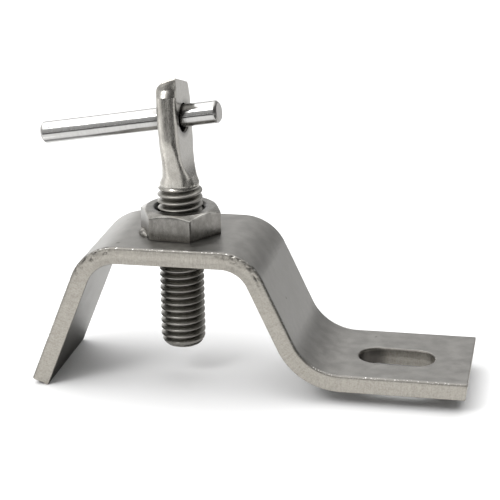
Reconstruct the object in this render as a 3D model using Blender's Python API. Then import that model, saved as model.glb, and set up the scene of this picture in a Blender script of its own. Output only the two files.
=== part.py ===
"""Bent-strip ground clamp: a strip bracket, a nut tacked to its web, an eye-headed clamp screw and a tommy bar.

Lengths are in millimetres and become metres as each mesh is made. The design is drawn with z = 0 on the
web's top face and x = 0 on the screw's axis. Everything is then moved so that the origin lies under the
middle of the whole clamp, at its lowest edge. +X runs along the strip towards the foot, and +Z is up.
"""

from math import asin, atan2, cos, exp, pi, radians, sin, sqrt, tan

import bmesh
import bpy
from mathutils import Matrix, Vector

METRE = 0.001

# Bracket: one strip of sheet with three bends
SHEET = 3.1
STRIP_WIDTH = 22.1
WEB_LEFT = -15.0          # where the web's top face would meet the short leg's outer face
WEB_RIGHT = 14.65         # where it would meet the long leg's outer face
SHORT_LEG_ANGLE = 67.7    # degrees below the web
SHORT_LEG_LENGTH = 27.95  # along its outer face, from that corner
LONG_LEG_ANGLE = 64.9
FOOT_DROP = 21.3          # from the web's top face to the foot's top face
FOOT_END = 52.3
FOOT_END_SLANT = 6.4      # degrees, the sheared end undercuts
SHORT_BEND_RADIUS = 9.1   # outside
LONG_BEND_RADIUS = 8.35   # outside
FOOT_BEND_RADIUS = 9.15   # inside, on the foot's top face
BEND_STEPS = 10
EDGE_BREAK = 0.25
SCREW_HOLE_RADIUS = 4.4

# Bolt slot through the foot
SLOT_LENGTH = 13.5
SLOT_WIDTH = 7.0
SLOT_MIDDLE = (39.05, -0.8)
SLOT_TURN = -2.5          # degrees

# Thin hexagon nut, M8
NUT_ACROSS_FLATS = 13.0
NUT_HEIGHT = 4.65
NUT_TURN = 25.9           # degrees, from -Y round to the corner on the foot's side
NUT_BORE_RADIUS = 4.1
NUT_MOUTH_RADIUS = 4.5
NUT_CHAMFER_RADIUS = 6.2
NUT_CHAMFER_ANGLE = 30.0
SEAT_GAP = 0.1            # between pieces that rest on each other

# Tack welds at the nut's foot
TACK_FLATS = {"nut_tack_left": 4, "nut_tack_rear": 2}
TACK_LENGTH = 4.4
TACK_LEG = 1.0
TACK_STEPS = 10

# Clamp screw, M8 x 1.25, right-hand
THREAD_RADIUS = 4.0
THREAD_ROOT_RADIUS = 3.23
PITCH = 1.25
CREST_WIDTH = PITCH / 8
TIP = -21.4
TIP_FACE_RADIUS = 2.5
TIP_LENGTH = 2.2
THREAD_TOP = 8.9
RUN_OUT = 1.3
COLUMNS = 24

# Head of the screw, forged flat into an eye
SHANK_RADIUS = 3.45
EYE_TURN = -6.0           # degrees, direction of the eye's flat face from +X
EYE_HALF_THICKNESS = 1.82
EYE_HALF_WIDTH = 5.1
EYE_SIDE_RADIUS = 2.3
EYE_CENTRE = 20.8
EYE_HOLE_RADIUS = 2.45
EYE_SHOULDER = 22.4       # where the rounded end begins
EYE_TOP = 27.5
FLAT_START = 8.6
FLAT_FULL = 14.2
HEAD_OFFSET = 0.75        # the head is forged a little to one side
HEAD_OFFSET_REACH = 5.5
HEAD_STEPS = 22

# Tommy bar, loose in the eye
BAR_RADIUS = 2.0
BAR_SHORT_END = 8.4       # from the eye's centre
BAR_LONG_END = 25.1
BAR_TURN = -5.0           # degrees, in plan
BAR_TILT = 10.0           # degrees, short end up
BAR_CHAMFER = 0.5
BAR_SIDES = 24


def unit(degrees):
    """Direction in the strip's side view, as (x, z)."""
    return Vector((cos(radians(degrees)), sin(radians(degrees))))


def smooth(value):
    """0 below 0, 1 above 1 and an even S between."""
    value = min(max(value, 0.0), 1.0)
    return value * value * (3 - 2 * value)


# Directions in the side view
SHORT_LEG_NORMAL = 90 + SHORT_LEG_ANGLE
LONG_LEG_NORMAL = 90 - LONG_LEG_ANGLE
SHORT_LEG_TIP = Vector((WEB_LEFT, 0)) - unit(SHORT_LEG_ANGLE) * SHORT_LEG_LENGTH
SHORT_LEG_HEEL = SHORT_LEG_TIP - unit(SHORT_LEG_NORMAL) * SHEET
LOWEST = SHORT_LEG_HEEL.y + EDGE_BREAK * cos(radians(SHORT_LEG_ANGLE))
ORIGIN = Vector(((SHORT_LEG_TIP.x + FOOT_END) / 2, 0, LOWEST))
HEAD_LEAN = HEAD_OFFSET * (1 - exp(-(EYE_CENTRE - FLAT_START) / HEAD_OFFSET_REACH))
EYE_MIDDLE = Vector((-HEAD_LEAN, 0, EYE_CENTRE))


def clear_scene():
    for thing in list(bpy.data.objects):
        bpy.data.objects.remove(thing, do_unlink=True)


def metal(name, colour, roughness, metallic=1.0):
    material = bpy.data.materials.new(name)
    material.use_nodes = True
    shader = material.node_tree.nodes["Principled BSDF"]
    shader.inputs["Base Color"].default_value = (*colour, 1)
    shader.inputs["Roughness"].default_value = roughness
    shader.inputs["Metallic"].default_value = metallic
    return material


def add_mesh(name, points, faces, material=None, middle=Vector((0, 0, 0))):
    """A mesh object from points in design millimetres, with its own origin at middle."""
    mesh = bpy.data.meshes.new(name)
    mesh.from_pydata([(Vector(p) - middle) * METRE for p in points], [], faces)
    shape = bmesh.new()
    shape.from_mesh(mesh)
    bmesh.ops.recalc_face_normals(shape, faces=shape.faces)
    shape.to_mesh(mesh)
    shape.free()
    if material:
        mesh.materials.append(material)
    thing = bpy.data.objects.new(name, mesh)
    thing.location = (middle - ORIGIN) * METRE
    bpy.context.scene.collection.objects.link(thing)
    return thing


def rings_to_mesh(rings):
    """Points and faces of a closed skin over equal rings, capped at both ends."""
    count = len(rings[0])
    points = [p for ring in rings for p in ring]
    faces = [list(range(count)), list(range(len(points) - count, len(points)))]
    for row in range(len(rings) - 1):
        for k in range(count):
            a = row * count + k
            b = row * count + (k + 1) % count
            faces.append([a, b, b + count, a + count])
    return points, faces


def turned(profile, sides):
    """Rings of a body turned about z, from (radius, z) pairs."""
    return [
        [(r * cos(2 * pi * k / sides), r * sin(2 * pi * k / sides), z) for k in range(sides)]
        for r, z in profile
    ]


def cut(thing, cutter, operation="DIFFERENCE"):
    cutter.hide_render = True
    cutter.display_type = "WIRE"
    boolean = thing.modifiers.new(cutter.name, "BOOLEAN")
    boolean.operation = operation
    boolean.solver = "EXACT"
    boolean.object = cutter


def shade_round(thing, degrees=35):
    thing.data.shade_smooth()
    thing.data.set_sharp_from_angle(angle=radians(degrees))


def bend(centre, radius, start, end):
    """Top-face points and normal angles round one bend. A negative radius bends the strip upwards."""
    stations = []
    for k in range(BEND_STEPS + 1):
        angle = start + (end - start) * k / BEND_STEPS
        stations.append((centre + unit(angle) * radius, angle))
    return stations


def strip_stations():
    """(point on the top face, normal angle) along the strip, from the short leg's end to the foot's end."""
    short_turn = radians(SHORT_LEG_ANGLE) / 2
    long_turn = radians(LONG_LEG_ANGLE) / 2
    foot_corner = WEB_RIGHT + FOOT_DROP / tan(radians(LONG_LEG_ANGLE))
    short_bend = Vector((WEB_LEFT + SHORT_BEND_RADIUS * tan(short_turn), -SHORT_BEND_RADIUS))
    long_bend = Vector((WEB_RIGHT - LONG_BEND_RADIUS * tan(long_turn), -LONG_BEND_RADIUS))
    foot_bend = Vector((foot_corner + FOOT_BEND_RADIUS * tan(long_turn), FOOT_BEND_RADIUS - FOOT_DROP))
    stations = [(SHORT_LEG_TIP, SHORT_LEG_NORMAL)]
    stations += bend(short_bend, SHORT_BEND_RADIUS, SHORT_LEG_NORMAL, 90)
    stations += bend(long_bend, LONG_BEND_RADIUS, 90, LONG_LEG_NORMAL)
    stations += bend(foot_bend, -FOOT_BEND_RADIUS, LONG_LEG_NORMAL, 90)
    stations.append((Vector((FOOT_END, -FOOT_DROP)), 90))
    return stations


def slot_outline(length, width, steps=12):
    """A round-ended slot about its own middle."""
    radius = width / 2
    reach = length / 2 - radius
    points = []
    for end, start in ((1, -pi / 2), (-1, pi / 2)):
        for k in range(steps + 1):
            angle = start + pi * k / steps
            points.append((end * reach + radius * cos(angle), radius * sin(angle)))
    return points


def make_bracket(material):
    rings = []
    for point, angle in strip_stations():
        under = point - unit(angle) * SHEET
        rings.append([(p.x, y, p.y) for p, y in ((point, -1), (point, 1), (under, 1), (under, -1))])
    undercut = SHEET * tan(radians(FOOT_END_SLANT))
    rings = [[(x, y * STRIP_WIDTH / 2, z) for x, y, z in ring] for ring in rings]
    rings[-1] = [(x - (undercut if k > 1 else 0), y, z) for k, (x, y, z) in enumerate(rings[-1])]
    bracket = add_mesh("bracket", *rings_to_mesh(rings), material)
    edges = bracket.modifiers.new("broken_edges", "BEVEL")
    edges.width = EDGE_BREAK * METRE
    edges.segments = 1
    edges.limit_method = "ANGLE"
    edges.angle_limit = radians(50)
    hole = turned([(SCREW_HOLE_RADIUS, -2 * SHEET), (SCREW_HOLE_RADIUS, SHEET)], 48)
    cut(bracket, add_mesh("screw_hole_cutter", *rings_to_mesh(hole)))
    turn = Matrix.Rotation(radians(SLOT_TURN), 2)
    middle = Vector(SLOT_MIDDLE)
    outline = [turn @ Vector(p) + middle for p in slot_outline(SLOT_LENGTH, SLOT_WIDTH)]
    slot = [[(p.x, p.y, z) for p in outline] for z in (-FOOT_DROP - 2 * SHEET, -FOOT_DROP + SHEET)]
    cut(bracket, add_mesh("slot_cutter", *rings_to_mesh(slot)))
    shade_round(bracket)
    return bracket


def nut_corner(k):
    """Corner k of the nut in plan; corner 0 is the front one on the foot's side."""
    angle = radians(NUT_TURN + 60 * k)
    radius = NUT_ACROSS_FLATS / sqrt(3)
    return Vector((radius * sin(angle), -radius * cos(angle), 0))


def make_nut(material):
    corners = [nut_corner(k) for k in range(6)]
    hexagon = [[(c.x, c.y, z) for c in corners] for z in (SEAT_GAP, NUT_HEIGHT)]
    nut = add_mesh("hex_nut", *rings_to_mesh(hexagon), material)
    wide = NUT_ACROSS_FLATS
    drop = (wide - NUT_CHAMFER_RADIUS) * tan(radians(NUT_CHAMFER_ANGLE))
    envelope = [(wide, -1), (wide, NUT_HEIGHT - drop), (NUT_CHAMFER_RADIUS, NUT_HEIGHT + 0.001)]
    cut(nut, add_mesh("nut_chamfer_cutter", *rings_to_mesh(turned(envelope, 48))), "INTERSECT")
    mouth = NUT_MOUTH_RADIUS - NUT_BORE_RADIUS
    bore = [
        (NUT_BORE_RADIUS, -1),
        (NUT_BORE_RADIUS, NUT_HEIGHT - mouth),
        (NUT_MOUTH_RADIUS + 1, NUT_HEIGHT + 1),
    ]
    cut(nut, add_mesh("nut_bore_cutter", *rings_to_mesh(turned(bore, 48))))
    shade_round(nut, 25)
    return nut


def make_tack(name, flat, material):
    """A short fillet bead between the web and the foot of one of the nut's flats."""
    start = nut_corner(flat)
    along = (nut_corner(flat + 1) - start).normalized()
    outward = Vector((along.y, -along.x, 0))
    flat_length = (nut_corner(flat + 1) - start).length
    first = (flat_length - TACK_LENGTH) / 2
    rings = []
    for step in range(TACK_STEPS + 1):
        share = (step + 0.15) / (TACK_STEPS + 0.3)
        leg = TACK_LEG * sqrt(sin(pi * share))
        base = start + along * (first + TACK_LENGTH * share) + outward * SEAT_GAP
        base.z = SEAT_GAP
        bulge = [(leg * cos(pi / 2 * k / 4), leg * sin(pi / 2 * k / 4)) for k in range(5)]
        rings.append([base] + [base + outward * out + Vector((0, 0, up)) for out, up in bulge])
    tack = add_mesh(name, *rings_to_mesh(rings), material)
    shade_round(tack, 50)
    return tack


def thread_height(phase):
    """Radius of the thread at a share of one pitch, with the crest's middle at 0."""
    from_crest = abs((phase + 0.5) % 1 - 0.5) * PITCH
    flank = (THREAD_RADIUS - THREAD_ROOT_RADIUS) * tan(radians(30))
    down = min(max((from_crest - CREST_WIDTH / 2) / flank, 0.0), 1.0)
    return THREAD_RADIUS + (THREAD_ROOT_RADIUS - THREAD_RADIUS) * down


def thread_phases():
    """The four corners of the thread's outline, as shares of one pitch."""
    flank = (THREAD_RADIUS - THREAD_ROOT_RADIUS) * tan(radians(30))
    crest = CREST_WIDTH / 2 / PITCH
    root = (CREST_WIDTH / 2 + flank) / PITCH
    return [-crest, crest, root, 1 - root]


def screw_radius(z, turn):
    """Radius of the threaded part at height z and at a share of one turn."""
    radius = thread_height(z / PITCH - turn)
    tip = min((z - TIP) / TIP_LENGTH, 1.0)
    dome = TIP_FACE_RADIUS + (THREAD_RADIUS - TIP_FACE_RADIUS) * sqrt(max(1 - (1 - tip) ** 2, 0))
    fade = smooth((z - THREAD_TOP + RUN_OUT) / RUN_OUT)
    return min(radius + (SHANK_RADIUS - radius) * fade, dome)


def thread_skin():
    """Points and faces of the threaded part. Rows follow the helix and stop level at both ends."""
    phases = thread_phases()
    first = int((TIP / PITCH) // 1) - 1
    last = int((THREAD_TOP / PITCH) // 1) + 2
    points, faces, index = [], [], {}

    def corner(row, column):
        row, column = row + 4 * (column // COLUMNS), column % COLUMNS
        turn = column / COLUMNS
        level = (first + row // 4 + phases[row % 4] + turn) * PITCH
        z = min(max(level, TIP), THREAD_TOP)
        key = (column, round(z, 5))
        if key not in index:
            index[key] = len(points)
            radius = screw_radius(z, turn)
            points.append((radius * cos(2 * pi * turn), radius * sin(2 * pi * turn), z))
        return index[key]

    for row in range(4 * (last - first)):
        for column in range(COLUMNS):
            around = [
                corner(row, column),
                corner(row, column + 1),
                corner(row + 1, column + 1),
                corner(row + 1, column),
            ]
            face = [a for k, a in enumerate(around) if a != around[k - 1]]
            if len(face) > 2:
                faces.append(face)
    bottom = [index[(k, round(TIP, 5))] for k in range(COLUMNS)]
    top = [index[(k, round(THREAD_TOP, 5))] for k in range(COLUMNS)]
    faces.append(bottom)
    return points, faces, top


def head_section(z):
    """(half thickness, half width, side radius) of the forged head at height z."""
    ramp = min(max((FLAT_FULL - z) / (FLAT_FULL - FLAT_START), 0.0), 1.0) ** 1.7
    thickness = EYE_HALF_THICKNESS + (SHANK_RADIUS - EYE_HALF_THICKNESS) * ramp
    spread = smooth((z - FLAT_START) / (EYE_CENTRE - 3 - FLAT_START))
    width = SHANK_RADIUS + (EYE_HALF_WIDTH - SHANK_RADIUS) * spread
    side = SHANK_RADIUS + (EYE_SIDE_RADIUS - SHANK_RADIUS) * spread
    if z > EYE_SHOULDER:
        rise = (z - EYE_SHOULDER) / (EYE_TOP - EYE_SHOULDER)
        width *= sqrt(max(1 - rise * rise, 0))
        thickness *= 1 - 0.25 * rise**4
        side = min(side, width)
    return thickness, width, side


def head_ring(z):
    thickness, width, side = head_section(z)
    centre = width - side
    corner = centre + sqrt(max(side * side - thickness * thickness, 0))
    corner_angle = atan2(corner, thickness)
    lean = HEAD_OFFSET * (1 - exp(-max(z - FLAT_START, 0) / HEAD_OFFSET_REACH))
    ring = []
    for k in range(COLUMNS):
        angle = 2 * pi * k / COLUMNS
        local = angle - radians(EYE_TURN)
        out = Vector((cos(local), sin(local)))
        quarter = asin(min(abs(out.y), 1))
        if quarter < corner_angle:
            reach = thickness / cos(quarter)
        else:
            along = abs(out.y) * centre
            reach = along + sqrt(max(along * along - centre * centre + side * side, 0))
        ring.append((reach * cos(angle) - lean, reach * sin(angle), z))
    return ring


def make_screw(material):
    points, faces, below = thread_skin()
    for step in range(1, HEAD_STEPS + 1):
        share = step / HEAD_STEPS
        z = THREAD_TOP + (EYE_TOP - 0.35 - THREAD_TOP) * sin(pi / 2 * share) ** 1.2
        ring = list(range(len(points), len(points) + COLUMNS))
        points += head_ring(z)
        for k in range(COLUMNS):
            after = (k + 1) % COLUMNS
            faces.append([below[k], below[after], ring[after], ring[k]])
        below = ring
    faces.append(below)
    screw = add_mesh("clamp_screw", points, faces, material)
    hole = turned([(EYE_HOLE_RADIUS, -10), (EYE_HOLE_RADIUS, 10)], 40)
    lay = Matrix.Rotation(radians(EYE_TURN), 3, "Z") @ Matrix.Rotation(pi / 2, 3, "Y")
    hole = [[lay @ Vector(p) + EYE_MIDDLE for p in ring] for ring in hole]
    cut(screw, add_mesh("eye_hole_cutter", *rings_to_mesh(hole)))
    shade_round(screw, 40)
    return screw


def make_tommy_bar(material):
    profile = [
        (BAR_RADIUS - BAR_CHAMFER, -BAR_LONG_END),
        (BAR_RADIUS, -BAR_LONG_END + BAR_CHAMFER),
        (BAR_RADIUS, BAR_SHORT_END - BAR_CHAMFER),
        (BAR_RADIUS - BAR_CHAMFER, BAR_SHORT_END),
    ]
    bar = add_mesh("tommy_bar", *rings_to_mesh(turned(profile, BAR_SIDES)), material)
    bar.location = (EYE_MIDDLE - ORIGIN) * METRE
    aim = Matrix.Rotation(radians(BAR_TURN), 3, "Z") @ Matrix.Rotation(pi / 2 - radians(BAR_TILT), 3, "Y")
    bar.rotation_euler = aim.to_euler()
    shade_round(bar)
    return bar


def main():
    clear_scene()
    sheet = metal("sheet_steel", (0.50, 0.50, 0.49), 0.38)
    nut = metal("nut_steel", (0.46, 0.46, 0.44), 0.32)
    weld = metal("weld_metal", (0.55, 0.55, 0.54), 0.30)
    screw = metal("screw_steel", (0.52, 0.51, 0.48), 0.28)
    bar = metal("bar_steel", (0.68, 0.68, 0.67), 0.12)
    make_bracket(sheet)
    make_nut(nut)
    for name, flat in TACK_FLATS.items():
        make_tack(name, flat, weld)
    make_screw(screw)
    make_tommy_bar(bar)


main()
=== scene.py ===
"""Looks of a bent-strip ground clamp: fine meshes, materials, floor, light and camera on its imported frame.

Shapes are drawn in design millimetres, with z = 0 on the web's top face and x = 0 on the screw's axis, and
become metres in the frame's own axes as each piece is finished. Every piece carries what its material reads:
"skin", its own coordinates in millimetres (unrolled, on the strip), and painted masks from 0 to 1.
"""

from math import atan2, ceil, cos, degrees, exp, pi, radians, sin, sqrt, tan

import bmesh
import bpy
import numpy as np
from mathutils import Matrix, Vector, noise
from mathutils.kdtree import KDTree


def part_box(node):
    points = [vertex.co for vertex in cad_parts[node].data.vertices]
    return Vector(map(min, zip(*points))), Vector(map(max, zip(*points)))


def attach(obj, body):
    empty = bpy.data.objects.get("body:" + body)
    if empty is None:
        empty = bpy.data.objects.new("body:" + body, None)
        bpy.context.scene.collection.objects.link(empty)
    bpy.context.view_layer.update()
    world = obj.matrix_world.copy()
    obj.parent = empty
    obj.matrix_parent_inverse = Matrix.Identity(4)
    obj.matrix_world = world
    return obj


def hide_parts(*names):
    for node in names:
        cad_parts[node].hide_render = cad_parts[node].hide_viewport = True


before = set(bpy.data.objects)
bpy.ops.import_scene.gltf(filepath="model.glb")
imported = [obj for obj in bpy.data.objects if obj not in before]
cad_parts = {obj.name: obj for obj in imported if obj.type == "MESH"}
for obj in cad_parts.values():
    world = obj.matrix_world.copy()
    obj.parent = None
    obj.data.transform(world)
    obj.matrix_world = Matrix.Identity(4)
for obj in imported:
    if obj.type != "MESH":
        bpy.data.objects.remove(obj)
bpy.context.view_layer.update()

METRE = 0.001

# Bracket
SHEET = 3.1
STRIP_WIDTH = 22.1
WEB_LEFT = -15.0          # where the web's top face would meet the short leg's outer face
WEB_RIGHT = 14.65         # where it would meet the long leg's outer face
SHORT_LEG_ANGLE = 67.7    # degrees below the web
SHORT_LEG_LENGTH = 27.95  # along its outer face, from that corner
LONG_LEG_ANGLE = 64.9
FOOT_DROP = 21.3          # from the web's top face to the foot's
FOOT_END = 52.3
FOOT_END_SLANT = 6.4      # degrees, the sheared end undercuts
SHORT_BEND_RADIUS = 9.1   # outside
LONG_BEND_RADIUS = 8.35   # outside
FOOT_BEND_RADIUS = 9.15   # inside, on the foot's top face
SCREW_HOLE_RADIUS = 4.4
SLOT_LENGTH = 13.5
SLOT_WIDTH = 7.0
SLOT_MIDDLE = Vector((39.05, -0.8))
SLOT_TURN = -2.5          # degrees

# How the strip was sheared and punched
STRIP_STEP = 0.27         # between cross-sections
ACROSS_CELLS = 48
ROLL_RADIUS = 0.42        # top edges, drawn down by the shear
LOWER_RADIUS = 0.2        # lower edges
END_RADIUS = 0.25         # edges of the sheared ends
ROLL_CELLS = 5
WALL_CELLS = 12
LOWER_CELLS = 3
BULGE = 0.16              # how far a bend's squeezed inside swells sideways
BULGE_REACH = 4.5
STRETCH_REACH = 5.2       # how far from a bend's middle its edge is torn
RIM_ANGLE = 66            # how far a punched hole's rolled rim turns
CUTTER_RISE = 1.2         # how far a cutter stands out of the face it cuts
HOLE_SIDES = 80
TEAR_DEPTH = 0.2
TORN_BACK = 0.1           # how much wider the torn half of a punched hole is
SLOT_RIMS = (0.45, 0.15)  # rolled rims at the top and underneath
HOLE_RIMS = (0.3, 0.35)
SLOT_MARGIN = 0.35        # how far round the slot its rim's wear reaches
UNROLL_STEP = 0.1         # between the places that vertices are unrolled to

# Nut
NUT_ACROSS_FLATS = 13.0
NUT_HEIGHT = 4.65
NUT_TURN = 25.9           # degrees, from -Y round to the corner on the foot's side
NUT_BORE_RADIUS = 4.1
NUT_MOUTH_RADIUS = 4.75
NUT_CHAMFER_RADIUS = 6.15
NUT_CHAMFER_SLOPE = tan(radians(30))
NUT_CORNER_POWER = 150    # the higher, the sharper the corners
NUT_THREAD_DEPTH = 0.4
NUT_COLUMNS = 240
NUT_FOOT_ROUND = 0.12
NUT_LIP_ROUND = 0.07
NUT_MOUTH_ROUND = 0.06
NUT_EASE = 0.03           # middle of the rounded foot and lip
NUT_BORE_STEPS = 44

# Tack welds
TACK_FLATS = {"nut_tack_left": 4, "nut_tack_rear": 2}   # the nut's flat that each lies on
TACK_LENGTH = 4.4
TACK_LEG = 1.0
TACK_STEPS = 60
TACK_CELLS = 16
TACK_SUNK = (0.06, 0.03)  # how far the bead reaches into the nut and below the web's face

# Screw
THREAD_RADIUS = 4.0
THREAD_ROOT_RADIUS = 3.23
PITCH = 1.25
CREST_WIDTH = PITCH * 0.2  # with its worn corners
TIP = -21.4
TIP_FACE_RADIUS = 2.5
TIP_LENGTH = 2.2
THREAD_TOP = 8.9
RUN_OUT = 1.3             # over which the thread fades into the shank
COLUMNS = 96
ROWS_PER_PITCH = 18
SHANK_RADIUS = 3.45
EYE_TURN = -6.0           # degrees, direction of the eye's flat face from +X
EYE_HALF_THICKNESS = 1.82
EYE_HALF_WIDTH = 5.1
EYE_SIDE_EXTRA = 0.04     # how much the narrow sides' radius exceeds the half thickness
EYE_CENTRE = 20.8
EYE_HOLE_RADIUS = 2.45
EYE_HOLE_RIM = 0.4
EYE_TOP = 28.45           # the front corner; the end slopes down to the rear
EYE_CREASE = 25.2         # above it the end is rounded over on the short leg's side
# (height, how far the narrow side stands out), at the front and at the rear
EYE_FRONT = [(0, 5.1), (25.2, 5.1), (26.6, 4.2), (27.5, 3.95), (28.2, 3.7), (28.45, 3.4)]
EYE_REAR = [
    (0, 5.1), (23.4, 5.1), (24.2, 4.85), (25.3, 4.5), (26.1, 3.9), (26.65, 3.0), (27.5, 0.1), (28.2, -2.35),
    (28.45, -3.2),
]
END_CORNER = 3.55         # where the narrow side of the rounded-over end meets the flats
END_ROUNDING = 2.04       # in half thicknesses, how far across the end is rounded over
EYE_HOLE_SIDES = 72
EYE_LEAN = 0.668          # how far the eye stands back from the screw's axis
LEAN_START = 10.4
LEAN_PAST_EYE = 0.15      # share of the lean that is still to come above the eye's middle
LEAN_POWER = 0.9
FLAT_START = 8.6
FLAT_FULL = 14.2
FLAT_POWER = 1.7          # how suddenly the shank is pressed flat
NECK_SWELL = 0.8          # how much blunter the narrow sides are halfway along the neck
HEAD_ROWS = 170
HOLE_SHADE_RADIUS = 3.9       # of the painted shade round the eye's hole

# Tommy bar
BAR_RADIUS = 2.0
BAR_SHORT_END = 8.4       # from the eye's middle
BAR_LONG_END = 25.1
BAR_TURN = -5.0           # degrees, in plan
BAR_TILT = 10.0           # degrees, short end up
BAR_CHAMFER = 0.42
BAR_COLUMNS = 72
BAR_ROWS = 150

# Camera, in metres and degrees
CAMERA_PLACE = (0.052877, -0.263320, 0.117038)
CAMERA_AZIMUTH = 11.528
CAMERA_ELEVATION = 19.109
CAMERA_ROLL = -0.725
CAMERA_LENS = 115.41
SENSOR = 36.0

# Light, in metres: the plain sky is bright on one side and dark on the other
SKY_TOWARDS = (-0.75, 0.35, 0.42)
SKY_DARK = 0.13
SKY_BRIGHT = 0.85
SKY_CHANGE = (-0.6, 0.75)   # dot products between which it brightens
OVERHEAD_FROM = (-0.15, 0.1, 1.0)
OVERHEAD_SPREAD = 90
OVERHEAD_POWER = 2.6
LIGHTS_AIM = (0, 0, 0.02)
SOFTBOXES = [               # name, place, width, height, watts
    ("left_front", (-0.38, -0.50, 0.62), 0.28, 0.28, 2.3),
    ("back_left", (-0.42, 0.72, 0.12), 0.32, 0.22, 0.4),
]

# Floor in metres, and the cards on it that only the metal's reflections show: the dark ones are painted
# shade in those reflections, and card_left's glow is a painted bright patch
FLOOR_REACH = 3.0
FLOOR_GREY = 0.86
CARD_LIFT = 0.0004
FLOOR_CARDS = [             # name, lowest and highest corner, grey, glow
    ("card_under", (-0.09, -0.011), (-0.022, 0.013), 0.3, 0.0),
    ("card_left", (-0.20, -0.042), (-0.058, 0.0), 0.86, 0.85),
    ("card_right", (0.045, -0.30), (0.40, -0.013), 0.03, 0.0),
    ("card_front", (-0.70, -0.90), (0.045, -0.137), 0.05, 0.0),
]


def unit(angle):
    """Direction in the strip's side view, as (x, z)."""
    return Vector((cos(radians(angle)), sin(radians(angle))))


def smooth(value):
    """0 below 0, 1 above 1 and an even S between."""
    value = min(max(value, 0.0), 1.0)
    return value * value * (3 - 2 * value)


def wander(x, y=0.0, z=0.0):
    """Smooth noise from about -1 to 1."""
    return noise.noise(Vector((x, y, z)))


# ---------------- meshes

def new_object(name, points, faces):
    """A mesh object whose faces all point out."""
    mesh = bpy.data.meshes.new(name)
    mesh.from_pydata(points, [], faces)
    shape = bmesh.new()
    shape.from_mesh(mesh)
    bmesh.ops.recalc_face_normals(shape, faces=shape.faces)
    shape.to_mesh(mesh)
    shape.free()
    thing = bpy.data.objects.new(name, mesh)
    bpy.context.scene.collection.objects.link(thing)
    return thing


def carve(thing, *cutters):
    """Cuts the cutters out of a mesh object and removes them."""
    for cutter in cutters:
        boolean = thing.modifiers.new(cutter.name, "BOOLEAN")
        boolean.operation = "DIFFERENCE"
        boolean.solver = "EXACT"
        boolean.object = cutter
    graph = bpy.context.evaluated_depsgraph_get()
    mesh = bpy.data.meshes.new_from_object(thing.evaluated_get(graph))
    thing.modifiers.clear()
    thing.data = mesh
    for cutter in cutters:
        bpy.data.objects.remove(cutter)


def paint(mesh, name, values):
    """Keeps a number or a vector for each vertex as an attribute."""
    values = np.asarray(values, np.float32)
    kind = "FLOAT" if values.ndim == 1 else "FLOAT_VECTOR"
    attribute = mesh.attributes.new(name, kind, "POINT")
    attribute.data.foreach_set("value" if kind == "FLOAT" else "vector", values.ravel())


def finish_piece(thing, look, body, node, skin, masks, crease=35):
    """Paints, shades, moves into the frame and hangs under its body's empty a piece drawn in design
    millimetres, hiding the part it replaces.
    """
    mesh = thing.data
    paint(mesh, "skin", skin)
    for name, values in masks.items():
        paint(mesh, name, values)
    mesh.materials.clear()
    mesh.materials.append(look)
    mesh.shade_smooth()
    mesh.set_sharp_from_angle(angle=radians(crease))
    mesh.transform(Matrix.Scale(METRE, 4) @ Matrix.Translation(-ORIGIN))
    mesh.update()
    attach(thing, body)
    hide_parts(node)


def ring_faces(rows, count):
    """Quads between equal rings whose points follow on from each other."""
    faces = []
    for row in range(rows - 1):
        for k in range(count):
            a = row * count + k
            b = row * count + (k + 1) % count
            faces.append((a, b, b + count, a + count))
    return faces


# ---------------- strip bracket

def strip_stretches():
    """(length, bend radius) along the top face: 0 where it is straight, negative at the foot's bend."""
    short_turn = radians(SHORT_LEG_ANGLE)
    long_turn = radians(LONG_LEG_ANGLE)
    short_cut = SHORT_BEND_RADIUS * tan(short_turn / 2)
    long_cut = LONG_BEND_RADIUS * tan(long_turn / 2)
    foot_cut = FOOT_BEND_RADIUS * tan(long_turn / 2)
    foot_corner = WEB_RIGHT + FOOT_DROP / tan(long_turn)
    return [
        (SHORT_LEG_LENGTH - short_cut, 0),
        (SHORT_BEND_RADIUS * short_turn, SHORT_BEND_RADIUS),
        (WEB_RIGHT - WEB_LEFT - short_cut - long_cut, 0),
        (LONG_BEND_RADIUS * long_turn, LONG_BEND_RADIUS),
        (FOOT_DROP / sin(long_turn) - long_cut - foot_cut, 0),
        (FOOT_BEND_RADIUS * long_turn, -FOOT_BEND_RADIUS),
        (FOOT_END - foot_corner - foot_cut, 0),
    ]


STRETCHES = strip_stretches()
STRIP_RUN = sum(length for length, radius in STRETCHES)
BEND_RUNS = [sum(length for length, radius in STRETCHES[:k]) + STRETCHES[k][0] / 2 for k in (1, 3, 5)]


def strip_at(run):
    """Point on the top face and the normal's angle at a distance along the strip."""
    angle = 90 + SHORT_LEG_ANGLE
    point = Vector((WEB_LEFT, 0)) - unit(SHORT_LEG_ANGLE) * SHORT_LEG_LENGTH
    for length, radius in STRETCHES:
        part = min(run, length)
        if radius:
            centre = point - unit(angle) * radius
            angle -= degrees(part / radius)
            point = centre + unit(angle) * radius
        else:
            point = point + unit(angle - 90) * part
        run -= part
        if run <= 0:
            break
    return point, angle


def strip_runs():
    """Where the cross-sections stand: even, and closer round the rounded ends."""
    rounding = [END_RADIUS * (1 - sin(pi / 2 * (1 - k / 4))) for k in range(5)]
    count = ceil((STRIP_RUN - 2 * END_RADIUS) / STRIP_STEP)
    even = [END_RADIUS + (STRIP_RUN - 2 * END_RADIUS) * k / count for k in range(1, count)]
    return rounding + even + [STRIP_RUN - run for run in reversed(rounding)]


def end_inset(run):
    """How far the rounded ends draw the cross-section in."""
    reach = END_RADIUS - min(run, STRIP_RUN - run, END_RADIUS)
    return END_RADIUS - sqrt(max(END_RADIUS**2 - reach**2, 0))


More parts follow.
